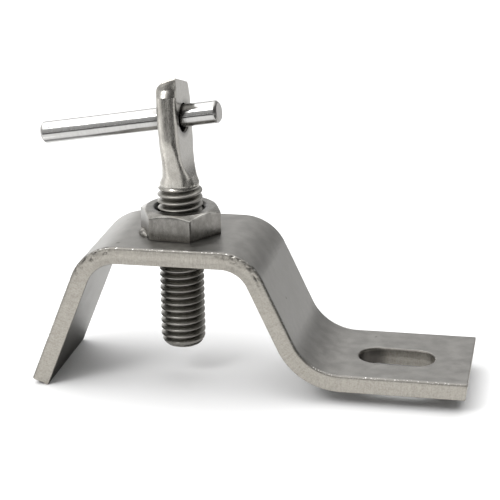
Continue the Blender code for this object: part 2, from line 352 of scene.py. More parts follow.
def section():
    """The cross-section's loop from the front of the top face: (y, depth, outward y, outward depth)."""
    half = STRIP_WIDTH / 2
    side = []
    for k in range(1, ROLL_CELLS + 1):
        angle = pi / 2 * k / ROLL_CELLS
        back = ROLL_RADIUS * (1 - sin(angle))
        side.append((back, ROLL_RADIUS * (1 - cos(angle)), sin(angle), -cos(angle)))
    wall = SHEET - ROLL_RADIUS - LOWER_RADIUS
    for k in range(1, WALL_CELLS):
        side.append((0, ROLL_RADIUS + wall * k / WALL_CELLS, 1, 0))
    for k in range(LOWER_CELLS):
        angle = pi / 2 * k / LOWER_CELLS
        depth = SHEET - LOWER_RADIUS + LOWER_RADIUS * sin(angle)
        side.append((LOWER_RADIUS * (1 - cos(angle)), depth, cos(angle), sin(angle)))
    top = [(-1 + 2 * k / ACROSS_CELLS) * (half - ROLL_RADIUS) for k in range(ACROSS_CELLS + 1)]
    under = [(1 - 2 * k / ACROSS_CELLS) * (half - LOWER_RADIUS) for k in range(ACROSS_CELLS + 1)]
    loop = [(y, 0, 0, -1) for y in top]
    loop += [(half - back, depth, out, down) for back, depth, out, down in side]
    loop += [(y, SHEET, 0, 1) for y in under]
    loop += [(back - half, depth, -out, down) for back, depth, out, down in reversed(side)]
    return loop


def bite(run, y, depth):
    """How deep the edge is torn at a point: long irregular tears where the bends drew the metal out."""
    side = 1 if y > 0 else -1
    bent = depth * 2.3 + 0.7 * wander(run * 0.8, side * 3.0)
    tear = wander(run * 0.9 + side * 9.0, bent * 1.2, 4.0) + 0.3 * wander(run * 2.8, depth * 5.0, side)
    return TEAR_DEPTH * smooth((tear - 0.1) / 0.25) * stretched(run) * smooth(1.7 - depth)


def stretched(run):
    """1 in the middle of the two upper bends, where the outside was drawn out, and 0 away from them."""
    return max(smooth(1.35 - abs(run - middle) / STRETCH_REACH) for middle in BEND_RUNS[:2])


def strip_relief(run, y, depth, out_y):
    """How far a point of the strip's skin stands proud, along its own outward direction."""
    side = 1 if y > 0 else -1
    wall = abs(out_y)
    lines = wander(run * 3.1, depth * 0.35, side * 7.0) * 0.55
    lines += wander(run * 7.3, depth * 0.8, side * 3.0) * 0.45
    torn = wander(run * 2.3, depth * 2.6, side * 11.0)
    broken = smooth((depth - 1.15) / 0.9)
    rolled = smooth(1.3 - depth)
    edge = 0.035 * lines + 0.035 * broken * torn + 0.09 * stretched(run) * rolled * torn
    edge += 0.05 * wander(run * 0.35, side * 2.0) - 0.09 * broken - bite(run, y, depth)
    face = 0.014 * wander(run * 0.16, y * 0.16, depth) + 0.005 * wander(run * 0.9, y * 0.7, depth + 4)
    return wall * edge + (1 - wall) * face


def bulge(run, depth):
    """Sideways swelling of the squeezed inside of each bend, and thinning of its stretched outside."""
    swelling = 0.0
    for middle, inside in zip(BEND_RUNS, (1, 1, -1)):
        strength = exp(-(((run - middle) / BULGE_REACH) ** 2))
        swelling += BULGE * strength * inside * (depth / SHEET - 0.5)
    return swelling


def strip_point(run, y, depth):
    """A point of the sheet, from unrolled coordinates, in design millimetres."""
    point, angle = strip_at(run)
    place = point - unit(angle) * depth
    undercut = tan(radians(FOOT_END_SLANT)) * depth * smooth((run - STRIP_RUN + 4) / 4)
    return Vector((place.x - undercut, y, place.y))


def strip_mesh():
    """(points, faces) of the whole strip, without its holes."""
    loop = section()
    points = []
    runs = strip_runs()
    for run in runs:
        inset = end_inset(run)
        for y, depth, out_y, out_depth in loop:
            proud = strip_relief(run, y, depth, out_y) - inset
            wide = y + out_y * (proud + bulge(run, depth))
            points.append(strip_point(run, wide, depth + out_depth * proud))
    count = len(loop)
    faces = ring_faces(len(runs), count)
    for first in (0, (len(runs) - 1) * count):
        close_end(points, faces, first, count, -1 if first == 0 else 1)
    return points, faces


def close_end(points, faces, first, count, way):
    """Fills an end with a grid that spans the loop, roughened as a sheared end is."""
    deep = ROLL_CELLS + WALL_CELLS + LOWER_CELLS
    wide = ACROSS_CELLS
    grid = {}
    for i in range(wide + 1):
        grid[i, 0] = first + i
        grid[i, deep] = first + wide + deep + (wide - i)
    for j in range(1, deep):
        grid[wide, j] = first + wide + j
        grid[0, j] = first + (count - j) % count
    along = (points[first] - points[first - way * count]).normalized()
    for i in range(1, wide):
        for j in range(1, deep):
            u, v = i / wide, j / deep
            rows = points[grid[i, 0]] * (1 - v) + points[grid[i, deep]] * v
            columns = points[grid[0, j]] * (1 - u) + points[grid[wide, j]] * u
            low = points[grid[0, 0]] * (1 - u) + points[grid[wide, 0]] * u
            high = points[grid[0, deep]] * (1 - u) + points[grid[wide, deep]] * u
            place = rows + columns - low * (1 - v) - high * v
            inside = smooth(min(i, wide - i, j, deep - j) / 2)
            rough = 0.05 * wander(place.y * 2.8, v * 1.2, way * 5.0)
            rough += 0.03 * wander(place.y * 7, v * 4, way)
            grid[i, j] = len(points)
            points.append(place + along * inside * (rough - 0.04 * smooth(v * 2 - 0.6)))
    for i in range(wide):
        for j in range(deep):
            faces.append((grid[i, j], grid[i + 1, j], grid[i + 1, j + 1], grid[i, j + 1]))


def rolled_rim(rim, steps=5):
    """(depth below the face, how far back) of a rim that meets the face at an angle, going inwards."""
    last = radians(RIM_ANGLE)
    turns = [last * k / steps for k in range(steps, -1, -1)]
    arc = [(rim * (1 - sin(turn)), rim * (1 - cos(turn))) for turn in turns]
    lift = arc[0][0]
    arc = [(depth - lift, back) for depth, back in arc]
    slope = tan(last)
    return [(-CUTTER_RISE, arc[0][1] + CUTTER_RISE * slope)] + arc


def punch_levels(top, rim, rim_below):
    """(z, how far the wall stands back) down a punched hole: rolled in at the top, torn wider below."""
    levels = [(top - depth, back) for depth, back in rolled_rim(rim)]
    start = levels[-1][0]
    below = [(top - SHEET + depth, back + TORN_BACK) for depth, back in rolled_rim(rim_below, 3)]
    finish = below[-1][0]
    for k in range(1, 9):
        share = k / 9
        levels.append((start + (finish - start) * share, TORN_BACK * smooth((share - 0.45) / 0.3)))
    return levels + below[::-1]


def slot_outline(count=22, between=14):
    """Points and outward directions round the slot, about its middle."""
    radius = SLOT_WIDTH / 2
    reach = SLOT_LENGTH / 2 - radius
    outline = []
    for end, start in ((1, -pi / 2), (-1, pi / 2)):
        for k in range(count + 1):
            angle = start + pi * k / count
            out = Vector((cos(angle), sin(angle)))
            outline.append((Vector((end * reach, 0)) + out * radius, out))
        for k in range(1, between):
            here = Vector((end * reach * (1 - 2 * k / between), end * radius))
            outline.append((here, Vector((0, end))))
    return outline


def slot_cutter():
    """A spool that leaves the slot's rims rolled and its wall rough."""
    turn = Matrix.Rotation(radians(SLOT_TURN), 2)
    outline = slot_outline()
    levels = punch_levels(-FOOT_DROP, *SLOT_RIMS)
    points = []
    for z, back in levels:
        for p, out in outline:
            rough = 0.05 * wander(p.x * 1.6, p.y * 1.6, z * 0.5) + 0.03 * wander(p.x * 5, p.y * 5, z * 2)
            q = turn @ (p + out * (back + rough)) + SLOT_MIDDLE
            points.append(Vector((q.x, q.y, z)))
    return capped("slot_cutter", points, len(levels), len(outline))


def hole_cutter():
    """The same for the screw's hole in the web."""
    levels = punch_levels(0, *HOLE_RIMS)
    points = []
    for z, back in levels:
        for k in range(HOLE_SIDES):
            angle = 2 * pi * k / HOLE_SIDES
            radius = SCREW_HOLE_RADIUS + back
            points.append(Vector((radius * cos(angle), radius * sin(angle), z)))
    return capped("hole_cutter", points, len(levels), HOLE_SIDES)


def capped(name, points, rows, count):
    """A closed object from a stack of rings, with a flat face at each end."""
    faces = ring_faces(rows, count)
    faces.append(tuple(range(count)))
    faces.append(tuple(range((rows - 1) * count, rows * count)))
    return new_object(name, points, faces)


def unroll(mesh):
    """(run, y, depth) and the sheet's own normal for every vertex of the bent strip."""
    count = ceil(STRIP_RUN / UNROLL_STEP) + 1
    tree = KDTree(count)
    stations = []
    for k in range(count):
        run = min(k * UNROLL_STEP, STRIP_RUN)
        point, angle = strip_at(run)
        middle = point - unit(angle) * SHEET / 2
        tree.insert((middle.x, 0, middle.y), k)
        stations.append((run, point, angle))
    tree.balance()
    skin, normals = [], []
    for vertex in mesh.vertices:
        place = Vector((vertex.co.x, vertex.co.z))
        run, point, angle = stations[tree.find((place.x, 0, place.y))[1]]
        offset = place - point
        skin.append((run + offset.dot(unit(angle - 90)), vertex.co.y, -offset.dot(unit(angle))))
        normals.append(Vector((unit(angle).x, 0, unit(angle).y)))
    return skin, normals


# Dark pits: (run, y, radius) on the top face
PITS = [
    (BEND_RUNS[0] + 5.0, -8.4, 0.32),
    (BEND_RUNS[0] + 3.0, 5.5, 0.22),
    (BEND_RUNS[1] + 11.0, -3.0, 0.24),
    (BEND_RUNS[2] + 9.0, 7.8, 0.25),
]


def face_pits_and_shade(run, y):
    """Dark pits in the top face, and painted shade round the nut's foot."""
    dark = 0
    for pit_run, pit_y, radius in PITS:
        far = sqrt((run - pit_run) ** 2 + (y - pit_y) ** 2)
        dark = max(dark, smooth(1.4 - far / radius))
    # Painted shade on the web round the nut's foot.
    from_screw = sqrt(strip_point(run, y, 0).x ** 2 + y * y)
    return max(dark, 0.5 * smooth((8.0 - from_screw) / 1.2))


def slot_spot(x, y):
    """A place in the slot's own axes, about its middle, or None if it isn't at the slot."""
    spot = Matrix.Rotation(-radians(SLOT_TURN), 2) @ (Vector((x, y)) - SLOT_MIDDLE)
    near = abs(spot.x) < SLOT_LENGTH / 2 + SLOT_MARGIN and abs(spot.y) < SLOT_WIDTH / 2 + SLOT_MARGIN
    return spot if near else None


def strip_masks(mesh, skin, normals):
    """shear: off the rolled faces. rim_shade_glint: along the top rims, where a painted shade line and
    painted glints go. dirt_and_shade: tears and pits, and painted shade round the nut's foot, in the slot's
    wall and on its far rim.
    """
    shear, rim_shade_glint, dirt_and_shade = [], [], []
    half = STRIP_WIDTH / 2
    for vertex, (run, y, depth), normal in zip(mesh.vertices, skin, normals):
        flat = abs(vertex.normal.dot(normal))
        shear.append(smooth((0.92 - flat) / 0.4))
        # The top rims get a painted shade line and sparse painted glints.
        rim = smooth(1 - abs(abs(y) - half + 0.12) / 0.42) * smooth(1 - abs(depth - 0.12) / 0.4)
        dark = 0.9 * bite(run, y, depth) / TEAR_DEPTH if abs(y) > half - 0.7 else 0
        if depth < 0.3:
            dark = max(dark, face_pits_and_shade(run, y))
        spot = slot_spot(vertex.co.x, y)
        at_slot = run > BEND_RUNS[2] and spot is not None
        # Painted shade in the slot's wall, darkest towards its left end.
        if at_slot and 0.15 < depth < SHEET - 0.05:
            dark = max(dark, 0.2, 0.92 * smooth((-spot.x - 0.6) / 4.0) * smooth((depth - 0.1) / 0.5))
        # Slot's top rims: painted glints on the near rim, painted shade on the far rim.
        if at_slot and 0.02 < depth <= 0.3:
            rim = 1.0 if spot.y < 0 else 0.0
            dark = max(dark, 0.75 * smooth(spot.y / 1.5))
        rim_shade_glint.append(rim)
        dirt_and_shade.append(min(dark, 1))
    return {"shear": shear, "rim_shade_glint": rim_shade_glint, "dirt_and_shade": dirt_and_shade}


def make_bracket():
    strip = new_object("bracket_strip", *strip_mesh())
    carve(strip, slot_cutter(), hole_cutter())
    skin, normals = unroll(strip.data)
    masks = strip_masks(strip.data, skin, normals)
    finish_piece(strip, sheet_look(), "frame", "bracket", skin, masks, 50)


# ---------------- nut and tacks

def nut_corner(k):
    """Corner k of the nut in plan; corner 0 is the front one on the foot's side."""
    angle = radians(NUT_TURN + 60 * k)
    radius = NUT_ACROSS_FLATS / sqrt(3)
    return Vector((radius * sin(angle), -radius * cos(angle), 0))


def hexagon(angle):
    """Distance to the nut's side in plan, with slightly rounded corners."""
    total = 0.0
    for k in range(6):
        toward = cos(angle - radians(NUT_TURN - 60 + 60 * k))
        total += max(toward, 0) ** NUT_CORNER_POWER
    return NUT_ACROSS_FLATS / 2 / total ** (1 / NUT_CORNER_POWER)


def thread_drop(phase):
    """0 on a thread's crest and 1 in its root, with both rounded, at a share of one pitch."""
    from_crest = abs((phase + 0.5) % 1 - 0.5) * PITCH
    flank = (THREAD_RADIUS - THREAD_ROOT_RADIUS) * tan(radians(30))
    share = (from_crest - CREST_WIDTH / 2 + 0.03) / (flank + 0.06)
    return 0.55 * smooth(share) + 0.45 * min(max(share, 0), 1)


def nut_rows(angle):
    """(radius, z) from the foot of one side, up, over the chamfer, across and down the bore."""
    side = hexagon(angle)
    lip = NUT_HEIGHT - (side - NUT_CHAMFER_RADIUS) * NUT_CHAMFER_SLOPE
    rows = [(side - NUT_FOOT_ROUND, 0.0), (side - NUT_EASE, NUT_EASE), (side, NUT_FOOT_ROUND)]
    rows += [(side, NUT_FOOT_ROUND + (lip - 0.17) * k / 12) for k in range(1, 13)]
    rows += [(side - 0.02, lip), (side - NUT_LIP_ROUND, lip + NUT_EASE)]
    wide = side - NUT_LIP_ROUND - NUT_CHAMFER_RADIUS
    rise = NUT_HEIGHT - 0.02 - lip - NUT_EASE
    rows += [(NUT_CHAMFER_RADIUS + wide * (1 - k / 6), lip + NUT_EASE + rise * k / 6) for k in range(1, 7)]
    rows.append((NUT_CHAMFER_RADIUS - 0.1, NUT_HEIGHT))
    rows += [
        (NUT_CHAMFER_RADIUS - 0.1 + (NUT_MOUTH_RADIUS + 0.2 - NUT_CHAMFER_RADIUS) * k / 5, NUT_HEIGHT)
        for k in range(1, 6)
    ]
    mouth = NUT_MOUTH_RADIUS - NUT_MOUTH_ROUND
    rows += [(NUT_MOUTH_RADIUS + 0.02, NUT_HEIGHT - 0.02), (mouth, NUT_HEIGHT - 0.09)]
    bore_top = NUT_HEIGHT - (NUT_MOUTH_RADIUS - NUT_BORE_RADIUS)
    for k in range(NUT_BORE_STEPS + 1):
        z = NUT_HEIGHT - 0.12 + (0.05 - NUT_HEIGHT + 0.12) * k / NUT_BORE_STEPS
        groove = NUT_THREAD_DEPTH * (1 - thread_drop(z / PITCH - angle / (2 * pi)))
        cone = mouth + (z - NUT_HEIGHT + 0.09)
        rows.append((max(NUT_BORE_RADIUS + groove * smooth((bore_top + 0.6 - z) / 0.3), cone), z))
    rows.append((NUT_BORE_RADIUS + 0.35, 0.0))
    return rows


def nut_mesh():
    """(points, faces) of the nut, a ring of its upright sections closed through the bore."""
    columns = [nut_rows(2 * pi * k / NUT_COLUMNS) for k in range(NUT_COLUMNS)]
    rows = len(columns[0])
    points = []
    for row in range(rows):
        for k in range(NUT_COLUMNS):
            angle = 2 * pi * k / NUT_COLUMNS
            radius, z = columns[k][row]
            swell = 0.012 * wander(radius * cos(angle) * 0.5, radius * sin(angle) * 0.5, z * 0.4)
            points.append(Vector(((radius + swell) * cos(angle), (radius + swell) * sin(angle), z)))
    faces = ring_faces(rows, NUT_COLUMNS)
    last = (rows - 1) * NUT_COLUMNS
    for k in range(NUT_COLUMNS):
        beside = (k + 1) % NUT_COLUMNS
        faces.append((last + k, last + beside, beside, k))
    return points, faces


def nut_masks(mesh):
    """worn: patches along the chamfer's lip, partly wear and partly a painted highlight, and the corners.
    dirt_and_shade: painted shade down the bore and at the foot.
    """
    skin, worn, dirt_and_shade = [], [], []
    for vertex in mesh.vertices:
        x, y, z = vertex.co
        radius = sqrt(x * x + y * y)
        skin.append((x, y, z))
        side = hexagon(atan2(y, x))
        lip = NUT_HEIGHT - (side - NUT_CHAMFER_RADIUS) * NUT_CHAMFER_SLOPE
        # The chamfer's lip is lightened partly by wear and partly as a painted highlight.
        at_lip = smooth(1 - abs(z - lip) / 0.13) * smooth((radius - NUT_CHAMFER_RADIUS + 0.3) / 0.3)
        at_lip *= 0.25 + 0.75 * smooth(0.45 + 2.2 * wander(x * 0.55, y * 0.55, 2.0))
        at_corner = smooth((side - 7.25) / 0.2) * smooth((radius - side + 0.3) / 0.2)
        worn.append(max(at_lip, 0.15 * at_corner))
        # Painted shade: darker down the bore and towards the foot.
        in_bore = smooth((4.95 - radius) / 0.25)
        at_base = 0.45 * smooth((0.55 - z) / 0.5)
        dirt_and_shade.append(max(in_bore, at_base))
    return skin, {"worn": worn, "dirt_and_shade": dirt_and_shade}


def make_nut():
    nut = new_object("nut_body", *nut_mesh())
    skin, masks = nut_masks(nut.data)
    finish_piece(nut, nut_look(), "frame", "hex_nut", skin, masks, 24)


def make_tack(node, flat):
    """A short fillet bead with frozen ripples, between the web and the foot of one of the nut's flats."""
    start = nut_corner(flat)
    edge = nut_corner(flat + 1) - start
    along = edge.normalized()
    outward = Vector((along.y, -along.x, 0))
    first = (edge.length - TACK_LENGTH) / 2
    points = []
    for step in range(TACK_STEPS + 1):
        share = (step + 0.1) / (TACK_STEPS + 0.2)
        leg = TACK_LEG * 1.04 * sqrt(sin(pi * share)) * (1 + 0.05 * sin(share * 27))
        base = start + along * (first + TACK_LENGTH * share) - outward * TACK_SUNK[0]
        base.z = -TACK_SUNK[1]
        points.append(base)
        for k in range(TACK_CELLS + 1):
            angle = pi / 2 * k / TACK_CELLS
            lump = 1 + 0.08 * wander(share * 6, angle * 1.5, flat)
            crown = leg * lump * (1 + 0.08 * sin(2 * angle))
            points.append(base + outward * crown * cos(angle) + Vector((0, 0, crown * sin(angle))))
    tack = capped(node.replace("nut_tack", "weld_bead"), points, TACK_STEPS + 1, TACK_CELLS + 2)
    skin = [tuple(vertex.co) for vertex in tack.data.vertices]
    finish_piece(tack, weld_look(), "frame", node, skin, {}, 60)


# ---------------- screw

def screw_radius(z, turn):
    """Radius of the threaded part at height z and at a share of one turn."""
    radius = THREAD_RADIUS + (THREAD_ROOT_RADIUS - THREAD_RADIUS) * thread_drop(z / PITCH - turn)
    tip = min((z - TIP) / TIP_LENGTH, 1.0)
    dome = TIP_FACE_RADIUS + (THREAD_RADIUS - TIP_FACE_RADIUS) * sqrt(max(1 - (1 - tip) ** 2, 0))
    fade = smooth((z - THREAD_TOP + RUN_OUT) / RUN_OUT)
    return min(radius + (SHANK_RADIUS - radius) * fade, dome)


def along_table(table, value):
    """Straight-line reading of (place, reading) pairs."""
    for (low, before), (high, after) in zip(table, table[1:]):
        if value <= high:
            share = max(value - low, 0) / (high - low)
            return before + (after - before) * share
    return table[-1][1]


def head_section(z):
    """(half thickness, front reach, rear reach, sagitta of the narrow sides) of the forged head."""
    ramp = min(max((FLAT_FULL - z) / (FLAT_FULL - FLAT_START), 0.0), 1.0) ** FLAT_POWER
    thickness = EYE_HALF_THICKNESS + (SHANK_RADIUS - EYE_HALF_THICKNESS) * ramp
    spread = smooth((z - FLAT_START) / (EYE_CENTRE - 3 - FLAT_START))
    width = SHANK_RADIUS + (EYE_HALF_WIDTH - SHANK_RADIUS) * spread
    side = thickness + EYE_SIDE_EXTRA * spread + NECK_SWELL * spread * (1 - spread)
    front = width - EYE_HALF_WIDTH + along_table(EYE_FRONT, z)
    rear = width - EYE_HALF_WIDTH + along_table(EYE_REAR, z)
    sagitta = side - sqrt(max(side * side - thickness * thickness, 0))
    if z > EYE_CREASE:
        sagitta = max(min(sagitta, front - END_CORNER), 0.03)
    return thickness, front, rear, min(sagitta, 0.3 * (front + rear))


def head_lean(z):
    """How far the forged head leans back from the screw's axis, towards the short leg."""
    share = max((z - LEAN_START) / (EYE_CENTRE - LEAN_START), 0)
    if share > 1:
        return EYE_LEAN * (1 + LEAN_PAST_EYE * (1 - exp(-(share - 1) / LEAN_PAST_EYE * LEAN_POWER)))
    return EYE_LEAN * share**LEAN_POWER


def head_point(z, angle):
    """A point of the head's skin. Its section is two flats and two arcs."""
    thickness, front, rear, sagitta = head_section(z)
    half = (front + rear) / 2
    radius = (thickness * thickness + sagitta * sagitta) / (2 * sagitta)
    local = angle - radians(EYE_TURN)
    local = atan2(half * sin(local), thickness * cos(local))
    if abs(sin(local)) * thickness < abs(cos(local)) * (half - sagitta):
        reach = thickness / abs(cos(local))
    else:
        along = abs(sin(local)) * (half - radius)
        reach = along + sqrt(max(along * along - (half - radius) ** 2 + radius * radius, 0))
    reach *= 1 + 0.003 * wander(cos(angle) * 2, sin(angle) * 2, z * 0.35) * smooth(z - 9)
    across = reach * cos(local)
    deep = reach * sin(local) + (rear - front) / 2
    if z > EYE_CREASE:
        fall = min((thickness - across) / (END_ROUNDING * thickness), 1.0)
        kept = sqrt(1 - fall * fall)
        z = EYE_CREASE + (z - EYE_CREASE) * kept
        side = EYE_HALF_THICKNESS + EYE_SIDE_EXTRA
        rim = EYE_HALF_WIDTH - side + sqrt(max(side * side - across * across, 0))
        deep -= (1 - kept) * max(rim + deep, 0) * min(max(-deep / front, 0), 1)
    place = Matrix.Rotation(radians(EYE_TURN), 2) @ Vector((across, deep))
    return Vector((place.x - head_lean(z), place.y, z))


def screw_blank():
    """The whole screw in rings from the tip up, without the eye's hole."""
    points = []
    rows = ceil((THREAD_TOP - TIP) / PITCH * ROWS_PER_PITCH)
    angles = [2 * pi * k / COLUMNS for k in range(COLUMNS)]
    for ring in range(1, 7):
        radius = TIP_FACE_RADIUS * ring / 7
        points += [Vector((radius * cos(a), radius * sin(a), TIP)) for a in angles]
    for row in range(rows + 1):
        z = TIP + (THREAD_TOP - TIP) * row / rows
        for k, a in enumerate(angles):
            radius = screw_radius(z, k / COLUMNS)
            dent = 0.02 * wander(cos(a) * 3, sin(a) * 3, z * 1.7)
            dent += 0.03 * min(wander(a * 2, z * 2.2, 3) + 0.35, 0)
            points.append(Vector(((radius + dent) * cos(a), (radius + dent) * sin(a), z)))
    height = EYE_TOP - 0.02 - THREAD_TOP
    for row in range(1, HEAD_ROWS + 1):
        z = THREAD_TOP + height * row / HEAD_ROWS
        points += [head_point(z, a) for a in angles]
    return capped("clamp_screw_body", points, 6 + rows + 1 + HEAD_ROWS, COLUMNS)


def eye_cutter():
    """A spool that leaves the hole's rims rounded."""
    rim = [(EYE_HALF_THICKNESS - depth, back) for depth, back in rolled_rim(EYE_HOLE_RIM)]
    levels = rim + [(0.6, 0), (0, 0), (-0.6, 0)] + [(-z, back) for z, back in reversed(rim)]
    lay = Matrix.Rotation(radians(EYE_TURN), 3, "Z") @ Matrix.Rotation(pi / 2, 3, "Y")
    points = []
    for z, back in levels:
        for k in range(EYE_HOLE_SIDES):
            angle = 2 * pi * k / EYE_HOLE_SIDES
            radius = EYE_HOLE_RADIUS + back
            point = lay @ Vector((radius * cos(angle), radius * sin(angle), z)) + EYE_MIDDLE
            point.x += head_lean(EYE_CENTRE) - head_lean(point.z)
            points.append(point)
    return capped("eye_cutter", points, len(levels), EYE_HOLE_SIDES)


def screw_masks(mesh):
    """worn: crests. dirt_and_shade: roots, and painted shade round the eye's hole. thread: below the head.
    pressed: its flats.
    """
    skin, worn, dirt_and_shade, thread, pressed = [], [], [], [], []
    turn = radians(EYE_TURN)
    for vertex in mesh.vertices:
        x, y, z = vertex.co
        radius = sqrt(x * x + y * y)
        skin.append((x, y, z))
        on_thread = smooth((THREAD_TOP - 0.3 - z) / 0.8)
        thread.append(on_thread)
        crest = smooth((radius - THREAD_RADIUS + 0.3) / 0.25)
        worn.append(crest * on_thread)
        root = smooth((THREAD_RADIUS - 0.25 - radius) / 0.4) * smooth((z - TIP - 0.9) / 0.9)
        across = (x + head_lean(z)) * cos(turn) + y * sin(turn)
        deep = y * cos(turn) - (x + head_lean(z)) * sin(turn)
        thickness = head_section(z)[0] if z > FLAT_START else SHANK_RADIUS
        from_eye = sqrt(deep * deep + (z - EYE_CENTRE) ** 2)
        # Painted shade round the eye's hole, on its flats and in the hole.
        hole_shade = smooth((HOLE_SHADE_RADIUS - from_eye) / 1.3) * (1 - 0.55 * smooth((z - EYE_CENTRE - 1.5) / 2))
        dirt_and_shade.append(max(root * on_thread, 0.85 * hole_shade))
        pressed.append(smooth((abs(across) - thickness + 0.12) / 0.1) * smooth((z - FLAT_START - 1) / 2))
    return skin, {"worn": worn, "dirt_and_shade": dirt_and_shade, "thread": thread, "pressed": pressed}


def make_screw():
    screw = screw_blank()
    carve(screw, eye_cutter())
    skin, masks = screw_masks(screw.data)
    finish_piece(screw, screw_look(), "screw", "clamp_screw", skin, masks, 48)


# ---------------- tommy bar

def bar_profile():
    """(radius, distance along) from the middle of one end face to the other."""
    profile = [(BAR_RADIUS * 0.72 * k / 6, 0.0) for k in range(1, 7)]
    profile.append((BAR_RADIUS - BAR_CHAMFER - 0.04, 0.0))
    profile.append((BAR_RADIUS - BAR_CHAMFER + 0.03, 0.03))
    profile.append((BAR_RADIUS - BAR_CHAMFER / 2, BAR_CHAMFER / 2))
    profile.append((BAR_RADIUS - 0.05, BAR_CHAMFER - 0.06))
    profile.append((BAR_RADIUS - 0.01, BAR_CHAMFER + 0.03))
    length = BAR_LONG_END + BAR_SHORT_END
    start = BAR_CHAMFER + 0.1
    middle = [(BAR_RADIUS, start + (length - 2 * start) * k / BAR_ROWS) for k in range(BAR_ROWS + 1)]
    return profile + middle + [(radius, length - along) for radius, along in reversed(profile)]


def make_bar():
    aim = Matrix.Rotation(radians(BAR_TURN), 3, "Z") @ Matrix.Rotation(pi / 2 - radians(BAR_TILT), 3, "Y")
    points, skin = [], []
    profile = bar_profile()
    for radius, along in profile:
        for k in range(BAR_COLUMNS):
            angle = 2 * pi * k / BAR_COLUMNS
            x, y = cos(angle), sin(angle)
            dent = 0.006 * wander(x, y, along * 0.35)
            dent += 0.012 * min(wander(x * 2, y * 2, along * 0.9) + 0.45, 0)
            reach = radius + dent * (radius / BAR_RADIUS)
            local = Vector((reach * x, reach * y, along - BAR_LONG_END))
            points.append(aim @ local + EYE_MIDDLE)
            skin.append(tuple(local))
    bar = capped("tommy_bar_rod", points, len(profile), BAR_COLUMNS)
    masks = {
        "ends": [smooth(1 - (min(z + BAR_LONG_END, BAR_SHORT_END - z) / 0.8)) for x, y, z in skin],
        # Painted shade on the bar where it passes through the eye.
        "bar_eye_shade": [smooth((4.2 - abs(z)) / 2.6) for x, y, z in skin],
    }
    finish_piece(bar, bar_look(), "bar", "tommy_bar", skin, masks, 30)


# ---------------- materials

class Look:
    """A metal's node tree, with short ways to add to it."""

    def __init__(self, name):
        self.material = bpy.data.materials.new(name)
        self.material.use_nodes = True
        self.tree = self.material.node_tree
        self.shader = self.tree.nodes["Principled BSDF"]
        self.shader.inputs["Metallic"].default_value = 1.0

    def add(self, kind, **settings):
        node = self.tree.nodes.new(kind)
        for key, value in settings.items():
            setattr(node, key, value)
        return node

    def feed(self, socket, value):
        if hasattr(value, "is_linked"):
            self.tree.links.new(value, socket)
        else:
            socket.default_value = value

    def mask(self, name):
        return self.add("ShaderNodeAttribute", attribute_name=name).outputs["Fac"]

    def skin(self, scale):
        """The piece's own coordinates, times a scale on each axis."""
        place = self.add("ShaderNodeAttribute", attribute_name="skin").outputs["Vector"]
        stretch = self.add("ShaderNodeVectorMath", operation="MULTIPLY")
        self.feed(stretch.inputs[0], place)
        self.feed(stretch.inputs[1], scale)
        return stretch.outputs["Vector"]

    def noise(self, scale, detail=2.0, rough=0.5):
        texture = self.add("ShaderNodeTexNoise")
        self.feed(texture.inputs["Vector"], self.skin(scale))
        self.feed(texture.inputs["Scale"], 1.0)
        self.feed(texture.inputs["Detail"], detail)
        self.feed(texture.inputs["Roughness"], rough)
        return texture.outputs["Fac"]

    def spread(self, value, low, high, to_low=0.0, to_high=1.0):
        """The value's low to high, stretched to the other two numbers."""
        ranged = self.add("ShaderNodeMapRange", interpolation_type="SMOOTHSTEP")
        self.feed(ranged.inputs["Value"], value)
        self.feed(ranged.inputs["From Min"], low)
        self.feed(ranged.inputs["From Max"], high)
        self.feed(ranged.inputs["To Min"], to_low)
        self.feed(ranged.inputs["To Max"], to_high)
        return ranged.outputs["Result"]

    def product(self, a, b):
        node = self.add("ShaderNodeMath", operation="MULTIPLY")
        self.feed(node.inputs[0], a)
        self.feed(node.inputs[1], b)
        return node.outputs["Value"]

    def mix(self, share, a, b):
        """A colour between a and b."""
        node = self.add("ShaderNodeMix", data_type="RGBA")
        self.feed(node.inputs["Factor"], share)
        for socket, value in zip((node.inputs[6], node.inputs[7]), (a, b)):
            self.feed(socket, (*value, 1) if isinstance(value, tuple) else value)
        return node.outputs[2]

    def between(self, share, a, b):
        """A number between a and b."""
        node = self.add("ShaderNodeMix", data_type="FLOAT")
        self.feed(node.inputs["Factor"], share)
        self.feed(node.inputs[2], a)
        self.feed(node.inputs[3], b)
        return node.outputs[0]

    def relief(self, height, depth):
        """Bump of a depth in millimetres."""
        bump = self.add("ShaderNodeBump")
        self.feed(bump.inputs["Height"], height)
        self.feed(bump.inputs["Distance"], depth * METRE)
        self.tree.links.new(bump.outputs["Normal"], self.shader.inputs["Normal"])

    def colour(self, value):
        self.feed(self.shader.inputs["Base Color"], value)

    def roughness(self, value):
        self.feed(self.shader.inputs["Roughness"], value)


